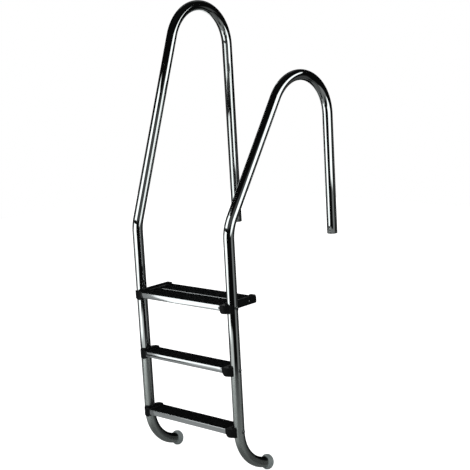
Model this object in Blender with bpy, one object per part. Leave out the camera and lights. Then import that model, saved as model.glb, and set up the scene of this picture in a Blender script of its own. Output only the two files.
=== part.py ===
"""Pool ladder: two bent stainless rails of unequal height, three treads (the
top one double depth), moulded end pieces, through bolts and rubber wall pads.

Frame, metres, +Z up. X runs from the left rail to the right rail as seen from
the water, Y runs from the water to the deck. The origin is midway between the
two water-side legs, on the rib tops of the lowest tread.
"""
import math

import bmesh
import bpy
from mathutils import Matrix, Vector

# ------------------------------------------------------------ driving sizes
MM = 0.001
GAP = 0.3 * MM                     # clearance between separate pieces

TUBE_R = 21.5 * MM                 # 43 mm rail tube
TUBE_WALL = 1.5 * MM
TUBE_SIDES = 20

RAIL_X = 250.0 * MM                # half the distance between the leg axes
TREAD_PITCH = 250.0 * MM

FOOT_CORNER_Z = -150.4 * MM        # where leg axis and foot axis would cross
FOOT_BEND_R = 172.8 * MM
FOOT_TURN = math.radians(75.71)    # foot axis, measured from straight down
FOOT_STRAIGHT = 19.1 * MM
KNEE_BEND_R = 154.7 * MM
DECK_Y = 627.9 * MM                # deck leg axis at z = 0
DECK_LEAN = math.radians(-0.383)   # deck leg leans this far from vertical

# per rail: knee height, top of the arch on the tube axis, arch radius,
# height of the cut deck end, outward splay of the rail's plane
RAILS = {
    "left": dict(side=-1, knee=771.3 * MM, top=1638.6 * MM, arch=177.4 * MM,
                 end=683.6 * MM, splay=math.radians(-1.075)),
    "right": dict(side=1, knee=795.8 * MM, top=1343.8 * MM, arch=172.4 * MM,
                  end=673.4 * MM, splay=math.radians(1.878)),
}

# treads, in the plane across the tread (y, z); z is counted from the nose top
NOSE_Y = -38.7 * MM
NOSE_H = 22.0 * MM
SHEET = 1.2 * MM
SINGLE_BACK_Y = 45.2 * MM
SEAM_Y = 58.1 * MM
UPPER_BACK_Y = 148.5 * MM
SEAM_STEP = 6.0 * MM                # bare steel left in front of the seam
LIP = 2.2 * MM                      # flat top of a nose
SEAM_LIP = 4.2 * MM                 # the same on the rear board
SINGLE_NOSE_U = 38.6 * MM          # nose end to rail axis, single treads
UPPER_NOSE_U = 33.0 * MM           # nose end to rail axis, double tread
TRAY_Z = -2.6 * MM
GRIP_TOP = 0.8 * MM                # rib tops above the nose top
NOSE_TOP = -GRIP_TOP              # so the lowest rib tops are at z = 0

# moulded end pieces; u is the distance inboard from the rail axis
CAP_BOTTOM = -34.0 * MM
CAP_RAISE = 7.5 * MM
SIDE_BOTTOM = -25.5 * MM
SIDE_FACE_U = 5.0 * MM
PLUG_END_U = 60.0 * MM

# M8 through bolt
BOLT_Z = -12.0 * MM
BOLT_R = 4.0 * MM
BOLT_HOLE_R = 4.4 * MM
NUT_AF = 13.0 * MM
NUT_T = 6.5 * MM
NUT_U = 50.3 * MM
# M6 rear screw of the double tread
SCREW_Y = 108.0 * MM
SCREW_R = 3.0 * MM

# ------------------------------------------------------------ clean start
for old in list(bpy.data.objects):
    bpy.data.objects.remove(old, do_unlink=True)


def material(name, colour, rough, metal):
    m = bpy.data.materials.new(name)
    m.use_nodes = True
    b = m.node_tree.nodes["Principled BSDF"]
    b.inputs["Base Color"].default_value = (*colour, 1.0)
    b.inputs["Roughness"].default_value = rough
    b.inputs["Metallic"].default_value = metal
    m.diffuse_color = (*colour, 1.0)
    m.roughness = rough
    m.metallic = metal
    return m


def finish(name, bm, colour, rough, metal, smooth=40.0):
    """Turns a bmesh into a named object with its own material."""
    bmesh.ops.recalc_face_normals(bm, faces=bm.faces[:])
    me = bpy.data.meshes.new(name)
    bm.to_mesh(me)
    bm.free()
    ob = bpy.data.objects.new(name, me)
    bpy.context.scene.collection.objects.link(ob)
    ob.data.materials.append(material(name + "_mat", colour, rough, metal))
    me.shade_smooth()
    me.set_sharp_from_angle(angle=math.radians(smooth))
    return ob


def temp(bm):
    bmesh.ops.recalc_face_normals(bm, faces=bm.faces[:])
    me = bpy.data.meshes.new("tool")
    bm.to_mesh(me)
    bm.free()
    ob = bpy.data.objects.new("tool", me)
    bpy.context.scene.collection.objects.link(ob)
    ob.hide_render = True
    ob.display_type = "WIRE"
    return ob


def boolean(ob, tool, operation):
    """Applies one exact Boolean to ob and removes the tool."""
    md = ob.modifiers.new("cut", "BOOLEAN")
    md.operation = operation
    md.solver = "EXACT"
    md.object = tool
    bpy.context.view_layer.update()
    dg = bpy.context.evaluated_depsgraph_get()
    me = bpy.data.meshes.new_from_object(ob.evaluated_get(dg))
    ob.modifiers.remove(md)
    old = ob.data
    ob.data = me
    bpy.data.meshes.remove(old)
    bpy.data.objects.remove(tool, do_unlink=True)
    return ob


def tidy(ob, name, colour, rough, metal, smooth=35.0):
    """Welds Boolean leftovers and gives the object its name and material."""
    bm = bmesh.new()
    bm.from_mesh(ob.data)
    bmesh.ops.remove_doubles(bm, verts=bm.verts[:], dist=0.00001)
    bmesh.ops.dissolve_degenerate(bm, edges=bm.edges[:], dist=0.00001)
    bmesh.ops.dissolve_limit(bm, angle_limit=math.radians(0.2),
                             verts=bm.verts[:], edges=bm.edges[:])
    bmesh.ops.triangulate(bm, faces=bm.faces[:])
    bpy.data.objects.remove(ob, do_unlink=True)
    return finish(name, bm, colour, rough, metal, smooth)


# ------------------------------------------------------------ rail geometry
def fillet(a, b, c, r, steps):
    """Points of the arc of radius r that rounds corner b between a and c."""
    u = (a - b).normalized()
    v = (c - b).normalized()
    half = u.angle(v) / 2
    t = r / math.tan(half)
    p, q = b + u * t, b + v * t
    centre = b + (u + v).normalized() * (r / math.sin(half))
    a0 = math.atan2(p.y - centre.y, p.x - centre.x)
    a1 = math.atan2(q.y - centre.y, q.x - centre.x)
    while a1 - a0 > math.pi:
        a1 -= 2 * math.pi
    while a1 - a0 < -math.pi:
        a1 += 2 * math.pi
    return [centre + Vector((math.cos(a0 + (a1 - a0) * i / steps),
                             math.sin(a0 + (a1 - a0) * i / steps))) * r
            for i in range(steps + 1)]


def centreline(rail, foot_steps=9, knee_steps=4, arch_steps=20):
    """Tube axis in the rail's own plane as (y, z) points, foot end first."""
    foot = Vector((math.sin(FOOT_TURN), -math.cos(FOOT_TURN)))
    corner = Vector((0.0, FOOT_CORNER_Z))
    foot_end = corner + foot * (FOOT_BEND_R * math.tan(FOOT_TURN / 2)
                                + FOOT_STRAIGHT)
    knee = Vector((0.0, rail["knee"]))
    ra = rail["arch"]
    zc = rail["top"] - ra
    yc = (DECK_Y * math.cos(DECK_LEAN) + zc * math.sin(DECK_LEAN) - ra) \
        / math.cos(DECK_LEAN)
    dz = zc - rail["knee"]
    rise = math.atan2(yc, dz) - math.asin(ra / math.hypot(yc, dz))
    centre = Vector((yc, zc))
    up = Vector((math.sin(rise), math.cos(rise)))
    first = centre + Vector((-math.cos(rise), math.sin(rise))) * ra
    last_angle = -DECK_LEAN
    a0 = math.pi - rise
    a1 = last_angle
    arch = [centre + Vector((math.cos(a0 + (a1 - a0) * i / arch_steps),
                             math.sin(a0 + (a1 - a0) * i / arch_steps))) * ra
            for i in range(arch_steps + 1)]
    end_z = rail["end"]
    end = Vector((DECK_Y + math.tan(DECK_LEAN) * end_z, end_z))
    pts = [foot_end]
    pts += fillet(foot_end, corner, knee, FOOT_BEND_R, foot_steps)
    pts += fillet(corner, knee, first, KNEE_BEND_R, knee_steps)
    pts += arch
    pts.append(end)
    return pts


def in_space(rail, p):
    s = rail["splay"]
    return Vector((rail["side"] * RAIL_X + p.x * math.sin(s),
                   p.x * math.cos(s), p.y))


def rings(bm, rail, pts, radius, sides):
    """One ring of vertices round every point of a planar tube axis."""
    s = rail["splay"]
    normal = Vector((math.cos(s), -math.sin(s), 0.0))
    out = []
    for i, p in enumerate(pts):
        if i == 0:
            t = (pts[1] - p).normalized()
        elif i == len(pts) - 1:
            t = (p - pts[-2]).normalized()
        else:
            t = ((p - pts[i - 1]).normalized()
                 + (pts[i + 1] - p).normalized()).normalized()
        side = Vector((-t.y * math.sin(s), -t.y * math.cos(s), t.x))
        c = in_space(rail, p)
        out.append([bm.verts.new(c + normal * (radius * math.cos(a))
                                 + side * (radius * math.sin(a)))
                    for a in (2 * math.pi * k / sides for k in range(sides))])
    return out


def skin(bm, rs):
    n = len(rs[0])
    for a, b in zip(rs, rs[1:]):
        for k in range(n):
            bm.faces.new((a[k], a[(k + 1) % n], b[(k + 1) % n], b[k]))


def solid_sweep(rail, pts, radius, sides=24):
    bm = bmesh.new()
    rs = rings(bm, rail, pts, radius, sides)
    skin(bm, rs)
    bm.faces.new(rs[0])
    bm.faces.new(rs[-1])
    return temp(bm)


# ------------------------------------------------------------ small solids
def cylinder_x(x0, x1, y, z, r, sides=16, turn=0.0):
    bm = bmesh.new()
    rs = []
    for x in (x0, x1):
        rs.append([bm.verts.new((x, y + r * math.cos(a), z + r * math.sin(a)))
                   for a in (turn + 2 * math.pi * k / sides
                             for k in range(sides))])
    skin(bm, rs)
    bm.faces.new(rs[0])
    bm.faces.new(rs[1])
    return temp(bm)


def revolve_x(name, profile, x_sign, x_at, y, z, sides, colour, rough, metal,
              smooth=40.0):
    """Turned piece about an X axis; profile is (distance along, radius)."""
    bm = bmesh.new()
    rs, poles = [], []
    for s, r in profile:
        x = x_at + x_sign * s
        if r == 0.0:
            poles.append(bm.verts.new((x, y, z)))
            continue
        rs.append([bm.verts.new((x, y + r * math.cos(a), z + r * math.sin(a)))
                   for a in (2 * math.pi * k / sides for k in range(sides))])
    skin(bm, rs)
    for pole, ring in zip(poles, (rs[0], rs[-1])):
        for k in range(sides):
            bm.faces.new((pole, ring[k], ring[(k + 1) % sides]))
    return finish(name, bm, colour, rough, metal, smooth)


def prism_z(points, z0, z1, chamfer=0.0):
    """Upright prism over a plan outline, with an optional top chamfer."""
    bm = bmesh.new()
    low = [bm.verts.new((x, y, z0)) for x, y in points]
    high = [bm.verts.new((x, y, z1 - chamfer)) for x, y in points]
    n = len(points)
    for k in range(n):
        bm.faces.new((low[k], low[(k + 1) % n], high[(k + 1) % n], high[k]))
    bm.faces.new(low)
    top = bm.faces.new(high)
    if chamfer:
        bmesh.ops.recalc_face_normals(bm, faces=bm.faces[:])
        bmesh.ops.inset_region(bm, faces=[top], thickness=chamfer,
                               depth=0.0, use_even_offset=True)
        for v in top.verts:
            v.co.z = z1
    return temp(bm)


def prism_y(points, y0, y1):
    """Prism along Y over an outline of (x, z) points."""
    bm = bmesh.new()
    a = [bm.verts.new((x, y0, z)) for x, z in points]
    b = [bm.verts.new((x, y1, z)) for x, z in points]
    n = len(points)
    for k in range(n):
        bm.faces.new((a[k], a[(k + 1) % n], b[(k + 1) % n], b[k]))
    bm.faces.new(a)
    bm.faces.new(b)
    return temp(bm)


def block(x0, x1, y0, y1, z0, z1):
    return prism_z([(x0, y0), (x1, y0), (x1, y1), (x0, y1)], z0, z1)


def arc(cx, cy, r, a0, a1, steps):
    """Points of an arc, angles in degrees."""
    return [(cx + r * math.cos(math.radians(a0 + (a1 - a0) * i / steps)),
             cy + r * math.sin(math.radians(a0 + (a1 - a0) * i / steps)))
            for i in range(steps + 1)]


# ------------------------------------------------------------ rails
STEEL = (0.62, 0.64, 0.65)
BLACK = (0.012, 0.013, 0.014)
LEVELS = {"lower": NOSE_TOP, "middle": NOSE_TOP + TREAD_PITCH,
          "upper": NOSE_TOP + 2 * TREAD_PITCH}

for key, label in (("left", "rail_left_tall"), ("right", "rail_right_short")):
    rail = RAILS[key]
    axis = centreline(rail)
    bm = bmesh.new()
    outer = rings(bm, rail, axis, TUBE_R, TUBE_SIDES)
    inner = rings(bm, rail, axis, TUBE_R - TUBE_WALL, TUBE_SIDES)
    skin(bm, outer)
    skin(bm, inner)
    for o, i in ((outer[0], inner[0]), (outer[-1], inner[-1])):
        for k in range(TUBE_SIDES):
            n = (k + 1) % TUBE_SIDES
            bm.faces.new((o[k], o[n], i[n], i[k]))
    ob = temp(bm)
    cx = rail["side"] * RAIL_X
    for z0 in LEVELS.values():
        boolean(ob, cylinder_x(cx - 30 * MM, cx + 30 * MM, 0.0, z0 + BOLT_Z,
                               BOLT_HOLE_R, 12), "DIFFERENCE")
    tidy(ob, label, STEEL, 0.12, 1.0)


# ------------------------------------------------------------ treads
def tread_section(y0, y1, lip):
    """Folded sheet: convex nose, hem, tray for the grip, turned-in lips.
    Returns matching inner and outer offsets of the sheet's mid line."""
    h = SHEET / 2
    low, high = -NOSE_H + h, -h
    mid = [(y0 + 11 * MM, low), (y0 + 1.6 * MM, low),
           (y0 + h, low + 0.9 * MM)]
    steps = 5
    for i in range(1, steps):
        f = i / steps
        mid.append((y0 + h - 0.7 * MM * math.sin(math.pi * f),
                    low + 0.9 * MM + f * (high - low - 1.3 * MM)))
    mid += [(y0 + h, high - 0.4 * MM), (y0 + h + 0.3 * MM, high),
            (y0 + lip, high), (y0 + lip, TRAY_Z - h),
            (y1 - h - 0.4 * MM, TRAY_Z - h), (y1 - h, TRAY_Z - h - 0.4 * MM),
            (y1 - h, low + 0.5 * MM), (y1 - h - 0.5 * MM, low),
            (y1 - 11 * MM, low)]
    one, two = [], []
    for i, p in enumerate(mid):
        a = Vector(mid[max(i - 1, 0)])
        b = Vector(p)
        c = Vector(mid[min(i + 1, len(mid) - 1)])
        d1 = (b - a).normalized() if i else (c - b).normalized()
        d2 = (c - b).normalized() if i < len(mid) - 1 else d1
        m = (d1 + d2).normalized()
        n = Vector((-m.y, m.x))
        w = h / max(0.5, n.dot(Vector((-d1.y, d1.x))))
        one.append(tuple(b + n * w))
        two.append(tuple(b - n * w))
    return one[::-1], two


def grip_profile(y0, y1, ribs, lip):
    """Ribbed anti-slip strip lying in the tray, lapping the back edge."""
    a, b = y0 + lip + SHEET / 2 + GAP, y1
    base = TRAY_Z + GAP
    low = -0.5 * MM
    pts = [(a, base), (a, low)]
    pitch = (b - a) / ribs
    for i in range(ribs):
        s = a + i * pitch
        pts += [(s + pitch * 0.22, low), (s + pitch * 0.34, GRIP_TOP),
                (s + pitch * 0.78, GRIP_TOP)]
        pts.append((s + pitch * 0.9, low) if i < ribs - 1
                   else (s + pitch * 0.92, 0.3 * MM))
    pts.append((b, low))
    return [(y, base) for y, _ in pts[1:]][::-1], pts[1:]


def ladder_strip(name, section, z0, half, colour, rough, metal):
    """Extrusion along X whose section is a run of paired base and top points,
    so that its end faces are rows of quads."""
    base, top = section
    base = base[::-1]
    bm = bmesh.new()
    grid = [[bm.verts.new((x, y, z + z0)) for y, z in row]
            for x in (-half, half) for row in (base, top)]
    lb, lt, rb, rt = grid
    n = len(base)
    for k in range(n - 1):
        bm.faces.new((lb[k], lb[k + 1], lt[k + 1], lt[k]))
        bm.faces.new((rb[k], rb[k + 1], rt[k + 1], rt[k]))
        bm.faces.new((lb[k], lb[k + 1], rb[k + 1], rb[k]))
        bm.faces.new((lt[k], lt[k + 1], rt[k + 1], rt[k]))
    bm.faces.new((lb[0], lt[0], rt[0], rb[0]))
    bm.faces.new((lb[-1], lt[-1], rt[-1], rb[-1]))
    return finish(name, bm, colour, rough, metal)


TREADS = (
    ("lower", LEVELS["lower"], NOSE_Y, SINGLE_BACK_Y, SINGLE_NOSE_U, 8),
    ("middle", LEVELS["middle"], NOSE_Y, SINGLE_BACK_Y, SINGLE_NOSE_U, 8),
    ("upper_front", LEVELS["upper"], NOSE_Y, SEAM_Y - 0.9 * MM,
     UPPER_NOSE_U, 9),
    ("upper_rear", LEVELS["upper"], SEAM_Y, UPPER_BACK_Y, UPPER_NOSE_U, 9),
)
for label, z0, y0, y1, u, ribs in TREADS:
    half = RAIL_X - u
    lip = SEAM_LIP if label == "upper_rear" else LIP
    ladder_strip("tread_" + label, tread_section(y0, y1, lip), z0, half,
                 STEEL, 0.25, 1.0)
    if label == "upper_front":
        y1 -= SEAM_STEP
    ladder_strip("grip_" + label, grip_profile(y0, y1, ribs, lip), z0,
                 half,
                 BLACK, 0.6, 0.0)


# ------------------------------------------------------------ end pieces
def mirrored(side, points):
    """(u, v) outline, u inboard from the rail axis, to (x, v)."""
    return [(side * (RAIL_X - u), v) for u, v in points]


def mm(points):
    return [(a * MM, b * MM) for a, b in points]


def hex_pocket(side, z, af, u0, u1, y=0.0):
    r = af / 2 / math.cos(math.pi / 6)
    xs = sorted((side * (RAIL_X - u0), side * (RAIL_X - u1)))
    return cylinder_x(xs[0], xs[1], y, z, r, 6)


def round_hole(side, z, r, u0, u1, y=0.0, sides=16):
    xs = sorted((side * (RAIL_X - u0), side * (RAIL_X - u1)))
    return cylinder_x(xs[0], xs[1], y, z, r, sides)


def seat_cutter(key, z0):
    """Tube-shaped cutter that follows the leg past one tread."""
    rail = RAILS[key]
    if z0 > 0.1:
        pts = [Vector((0.0, z0 - 80 * MM)), Vector((0.0, z0 + 60 * MM))]
    else:
        arcpts = centreline(rail, foot_steps=9)[1:11]
        pts = [p for p in arcpts if p.y > -0.12] + [Vector((0.0, 60 * MM))]
    return solid_sweep(rail, pts, (TUBE_R + GAP) / math.cos(math.pi / 24), 24)


def cut_for_bolt(ob, side, z0):
    boolean(ob, round_hole(side, z0 + BOLT_Z, BOLT_HOLE_R,
                           -40 * MM, PLUG_END_U + 5 * MM), "DIFFERENCE")
    boolean(ob, hex_pocket(side, z0 + BOLT_Z, NUT_AF + 0.5 * MM,
                           NUT_U - GAP, PLUG_END_U + 5 * MM), "DIFFERENCE")


def end_cap(key, label, z0):
    """Cap between a single tread and its rail: saddle, rear lug and plug."""
    side = RAILS[key]["side"]
    plan = mm([(38.3, -38.7), (22, -38.7), (15, -37.6), (8, -34.6),
               (1, -30.8), (-3.5, -28.6), (-6, -26), (-6, -15), (5, 15),
               (5, 25), (8, 36), (14, 43), (22, 45.2), (38.3, 45.2)])
    ob = prism_z(mirrored(side, plan), z0 + CAP_BOTTOM, z0 + GRIP_TOP)
    front = mm([(38.3, 5)] + arc(20.3, -16, 18, 0, -90, 6) + [(-12, -34),
                                                             (-12, 5)])
    boolean(ob, prism_y([(x, z + z0) for x, z in mirrored(side, front)],
                        -60 * MM, 60 * MM), "INTERSECT")
    ring = [(28 * math.sin(a), -28 * math.cos(a)) for a in
            (math.radians(-8 + 14 * i) for i in range(8))]
    raised = mm([(-4, -15)] + ring + [(27.6, 31.5), (35.5, 32.5),
                (35.5, 45.2), (22, 45.2), (14, 43), (8, 36), (5, 25),
                (5, 15)])
    boolean(ob, prism_z(mirrored(side, raised), z0, z0 + CAP_RAISE, 2 * MM),
            "UNION")
    xs = sorted((side * (RAIL_X - 37 * MM), side * (RAIL_X - PLUG_END_U)))
    boolean(ob, block(xs[0], xs[1], NOSE_Y + 3.2 * MM, SINGLE_BACK_Y - 3 * MM,
                      z0 - NOSE_H + 2 * MM, z0 - 4.5 * MM), "UNION")
    boolean(ob, block(xs[0], xs[1], -11 * MM, 11 * MM,
                      z0 - 24 * MM, z0 - 4.6 * MM), "UNION")
    boolean(ob, seat_cutter(key, z0), "DIFFERENCE")
    cut_for_bolt(ob, side, z0)
    tidy(ob, f"end_cap_{label}_{key}", BLACK, 0.45, 0.0)


def side_bracket(key, z0):
    """Bracket that carries both boards of the double-depth top tread."""
    side = RAILS[key]["side"]
    wrap = [(26.5 * math.sin(a), -26.5 * math.cos(a)) for a in
            (math.radians(-14 - 8.25 * i) for i in range(5))]
    plan = mm([(32.7, -38.7), (20, -38.7), (13, -37.6), (6, -34.4),
               (-1, -29.8)] + wrap
              + [(-15, -12), (5, 14), (5, 40), (32.7, 40)])
    ob = prism_z(mirrored(side, plan), z0 + CAP_BOTTOM, z0 + GRIP_TOP)
    front = mm([(32.7, 5)] + arc(22.7, -23, 10, 0, -90, 4)
               + [(22.7, -33), (-30, -33), (-30, 5)])
    boolean(ob, prism_y([(x, z + z0) for x, z in mirrored(side, front)],
                        -60 * MM, 60 * MM), "INTERSECT")
    xs = sorted((side * (RAIL_X - 32.7 * MM), side * (RAIL_X - SIDE_FACE_U)))
    beam = mm([(148.5, -1.0), (148.5, -20.5), (146.9, -24), (143.5, -25.5),
               (26, -25.5), (26, 0.8), (147, 0.8)])
    bm = bmesh.new()
    a = [bm.verts.new((xs[0], y, z + z0)) for y, z in beam]
    b = [bm.verts.new((xs[1], y, z + z0)) for y, z in beam]
    for k in range(len(beam)):
        n = (k + 1) % len(beam)
        bm.faces.new((a[k], a[n], b[n], b[k]))
    bm.faces.new(a)
    bm.faces.new(b)
    boolean(ob, temp(bm), "UNION")
    ring = [(27.5 * math.sin(t), -27.5 * math.cos(t)) for t in
            (math.radians(14 + 12 * i) for i in range(7))]
    raised = mm([(5, -12)] + ring + [(24, 24), (11, 34), (11, 133), (32.4, 134),
                (32.4, 145.5), (30.5, 148.1), (7.5, 148.1), (5, 145.5),
                (5, 20)])
    boolean(ob, prism_z(mirrored(side, raised), z0, z0 + CAP_RAISE, 1.6 * MM),
            "UNION")
    xp = sorted((side * (RAIL_X - 32 * MM), side * (RAIL_X - PLUG_END_U)))
    for y0, y1 in ((NOSE_Y + 3.2 * MM, SEAM_Y - 3.8 * MM),
                   (SEAM_Y + 3.2 * MM, UPPER_BACK_Y - 3 * MM)):
        boolean(ob, block(xp[0], xp[1], y0, y1, z0 - NOSE_H + 2 * MM,
                          z0 - 4.5 * MM), "UNION")
    for y, w in ((0.0, 11 * MM), (SCREW_Y, 9 * MM)):
        boolean(ob, block(xp[0], xp[1], y - w, y + w, z0 - 24 * MM,
                          z0 - 4.6 * MM), "UNION")
    boolean(ob, round_hole(side, z0 + BOLT_Z, 8 * MM, 4.2 * MM, 7 * MM,
                           SCREW_Y, 20), "UNION")
    boolean(ob, seat_cutter(key, z0), "DIFFERENCE")
    cut_for_bolt(ob, side, z0)
    boolean(ob, round_hole(side, z0 + BOLT_Z, SCREW_R + 0.4 * MM,
                           -2 * MM, PLUG_END_U + 5 * MM, SCREW_Y, 12),
            "DIFFERENCE")
    boolean(ob, round_hole(side, z0 + BOLT_Z, 5.8 * MM, -2 * MM, 8.2 * MM,
                           SCREW_Y, 16), "DIFFERENCE")
    boolean(ob, hex_pocket(side, z0 + BOLT_Z, 10.5 * MM, NUT_U - GAP,
                           PLUG_END_U + 5 * MM, SCREW_Y), "DIFFERENCE")
    tidy(ob, f"side_bracket_upper_{key}", BLACK, 0.45, 0.0)


for key in ("left", "right"):
    for label in ("lower", "middle"):
        end_cap(key, label, LEVELS[label])
    side_bracket(key, LEVELS["upper"])


# ------------------------------------------------------------ fasteners
def hex_nut(name, side, y, z, af, hole, u0, thick):
    bm = bmesh.new()
    r = af / 2 / math.cos(math.pi / 6)
    sides = 12
    xa, xb = side * (RAIL_X - u0), side * (RAIL_X - u0 - thick)
    outer, inner = [], []
    for x in (xa, xb):
        o = []
        for k in range(sides):
            a = 2 * math.pi * k / sides
            q = r if k % 2 == 0 else af / 2
            o.append(bm.verts.new((x, y + q * math.cos(a),
                                   z + q * math.sin(a))))
        outer.append(o)
        inner.append([bm.verts.new((x, y + hole * math.cos(a),
                                    z + hole * math.sin(a)))
                      for a in (2 * math.pi * k / sides
                                for k in range(sides))])
    skin(bm, outer)
    skin(bm, inner)
    for o, i in zip(outer, inner):
        for k in range(sides):
            n = (k + 1) % sides
            bm.faces.new((o[k], o[n], i[n], i[k]))
    return finish(name, bm, STEEL, 0.3, 1.0, 25)


for key in ("left", "right"):
    side = RAILS[key]["side"]
    for label, z0 in LEVELS.items():
        z = z0 + BOLT_Z
        # dome head outside the rail, shank inboard to just past the nut
        head_u = -22.9 * MM
        revolve_x(f"bolt_{label}_{key}",
                  [(-3.6 * MM, 0.0), (-3.6 * MM, 3.2 * MM),
                   (-2.9 * MM, 5.4 * MM), (-1.4 * MM, 6.9 * MM),
                   (0.0, 7.0 * MM), (0.0, BOLT_R),
                   (80.4 * MM, BOLT_R), (81.4 * MM, 3.2 * MM),
                   (81.4 * MM, 0.0)],
                  -side, side * (RAIL_X - head_u), 0.0, z, 16,
                  STEEL, 0.2, 1.0)
        # saddle washer, hollowed to the rail
        ob = cylinder_x(*sorted((side * (RAIL_X + 22.6 * MM),
                                 side * (RAIL_X + 14 * MM))), 0.0, z,
                        8.6 * MM, 20)
        boolean(ob, seat_cutter(key, z0), "DIFFERENCE")
        boolean(ob, round_hole(side, z, BOLT_HOLE_R, -40 * MM, 0.0),
                "DIFFERENCE")
        tidy(ob, f"saddle_washer_{label}_{key}", STEEL, 0.3, 1.0)
        hex_nut(f"nut_{label}_{key}", side, 0.0, z, NUT_AF,
                BOLT_R + 0.3 * MM, NUT_U, NUT_T)
    z = LEVELS["upper"] + BOLT_Z
    revolve_x(f"rear_screw_{key}",
              [(-3.0 * MM, 0.0), (-3.0 * MM, 2.6 * MM), (-2.3 * MM, 4.4 * MM),
               (-1.0 * MM, 5.2 * MM), (0.0, 5.3 * MM), (0.0, SCREW_R),
               (50.0 * MM, SCREW_R), (50.0 * MM, 0.0)],
              -side, side * (RAIL_X - 7.9 * MM), SCREW_Y, z, 14,
              STEEL, 0.3, 1.0)
    hex_nut(f"rear_nut_{key}", side, SCREW_Y, z, 10 * MM,
            SCREW_R + 0.3 * MM, NUT_U, 5 * MM)

# ------------------------------------------------------------ rubber wall pads
for key in ("left", "right"):
    rail = RAILS[key]
    pts = centreline(rail)
    s = rail["splay"]
    foot = (pts[0] - pts[1]).normalized()
    along = Vector((foot.x * math.sin(s), foot.x * math.cos(s), foot.y))
    across = Vector((math.cos(s), -math.sin(s), 0.0))
    third = along.cross(across)
    start = in_space(rail, pts[0])
    inner_r = TUBE_R - TUBE_WALL - 0.7 * MM
    outer_r = TUBE_R + GAP
    # from the tip of the inner plug, out round the dome, back to the lip
    profile = [(-13 * MM, 0.0), (-13 * MM, inner_r - 1 * MM),
               (-12 * MM, inner_r), (GAP, inner_r), (GAP, outer_r),
               (-13 * MM, outer_r), (-13.4 * MM, 22.8 * MM),
               (-12.4 * MM, 23.8 * MM), (-8 * MM, 25.6 * MM),
               (-4 * MM, 29.2 * MM), (-1 * MM, 30.8 * MM), (2 * MM, 31 * MM),
               (7 * MM, 31 * MM), (11 * MM, 29.4 * MM), (14.5 * MM, 25 * MM),
               (17 * MM, 18.5 * MM), (18 * MM, 12 * MM), (18 * MM, 0.0)]
    sides = 24
    bm = bmesh.new()
    rs, poles = [], []
    for d, r in profile:
        c = start + along * d
        if r == 0.0:
            poles.append(bm.verts.new(c))
        else:
            rs.append([bm.verts.new(c + across * (r * math.cos(a))
                                    + third * (r * math.sin(a)))
                       for a in (2 * math.pi * k / sides
                                 for k in range(sides))])
    skin(bm, rs)
    for pole, ring in zip(poles, (rs[0], rs[-1])):
        for k in range(sides):
            bm.faces.new((pole, ring[k], ring[(k + 1) % sides]))
    finish(f"wall_pad_{key}", bm, (0.33, 0.36, 0.36), 0.5, 0.0)
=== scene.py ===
"""Looks of the pool ladder: polished rails, brushed treads with ribbed black
inserts, moulded end pieces and rubber wall pads, in a small light tent.

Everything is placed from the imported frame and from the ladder's own design
sizes. Metres, +Z up, X from the left to the right rail, Y towards the deck.
"""
import math

import bmesh
import bpy
from mathutils import Matrix, Vector, noise


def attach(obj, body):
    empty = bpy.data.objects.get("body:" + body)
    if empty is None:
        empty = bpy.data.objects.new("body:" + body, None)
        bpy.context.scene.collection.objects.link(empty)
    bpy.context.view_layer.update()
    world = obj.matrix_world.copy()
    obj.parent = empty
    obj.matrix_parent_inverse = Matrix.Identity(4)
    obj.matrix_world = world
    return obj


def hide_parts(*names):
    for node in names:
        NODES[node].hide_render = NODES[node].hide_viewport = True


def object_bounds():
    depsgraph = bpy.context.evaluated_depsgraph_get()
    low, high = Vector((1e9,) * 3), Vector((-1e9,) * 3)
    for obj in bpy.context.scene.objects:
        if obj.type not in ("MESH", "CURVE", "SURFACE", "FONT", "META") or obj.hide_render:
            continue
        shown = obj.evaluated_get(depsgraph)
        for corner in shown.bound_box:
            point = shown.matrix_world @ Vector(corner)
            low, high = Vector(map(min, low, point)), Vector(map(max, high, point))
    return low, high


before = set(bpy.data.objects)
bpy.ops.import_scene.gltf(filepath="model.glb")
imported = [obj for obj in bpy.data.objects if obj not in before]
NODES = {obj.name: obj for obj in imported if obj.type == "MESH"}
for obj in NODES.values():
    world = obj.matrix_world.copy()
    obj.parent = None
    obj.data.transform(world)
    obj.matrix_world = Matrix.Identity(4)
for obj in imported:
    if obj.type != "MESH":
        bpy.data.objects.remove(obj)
cad_low, cad_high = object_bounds()
BODY = "root"

# ------------------------------------------------------------ design sizes
MM = 0.001
GAP = 0.3 * MM
TUBE_R = 21.5 * MM
TUBE_WALL = 1.5 * MM
RAIL_X = 250.0 * MM
TREAD_PITCH = 250.0 * MM
FOOT_CORNER_Z = -150.4 * MM
FOOT_BEND_R = 172.8 * MM
FOOT_TURN = math.radians(75.71)
FOOT_STRAIGHT = 19.1 * MM
KNEE_BEND_R = 154.7 * MM
DECK_Y = 627.9 * MM
DECK_LEAN = math.radians(-0.383)
RAILS = {
    "left": dict(side=-1, knee=771.3 * MM, top=1638.6 * MM, arch=177.4 * MM,
                 end=683.6 * MM, splay=math.radians(-1.075)),
    "right": dict(side=1, knee=795.8 * MM, top=1343.8 * MM, arch=172.4 * MM,
                  end=673.4 * MM, splay=math.radians(1.878)),
}
NOSE_Y = -38.7 * MM
NOSE_H = 22.0 * MM
SHEET = 1.2 * MM
SINGLE_BACK_Y = 45.2 * MM
SEAM_Y = 58.1 * MM
UPPER_BACK_Y = 148.5 * MM
SEAM_STEP = 6.0 * MM
LIP = 2.2 * MM
SEAM_LIP = 4.2 * MM
SINGLE_NOSE_U = 38.6 * MM
UPPER_NOSE_U = 33.0 * MM
TRAY_Z = -2.6 * MM
GRIP_TOP = 0.8 * MM
NOSE_TOP = -GRIP_TOP
BOLT_Z = -12.0 * MM
BOLT_R = 4.0 * MM
SCREW_Y = 108.0 * MM
SCREW_R = 3.0 * MM
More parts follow.
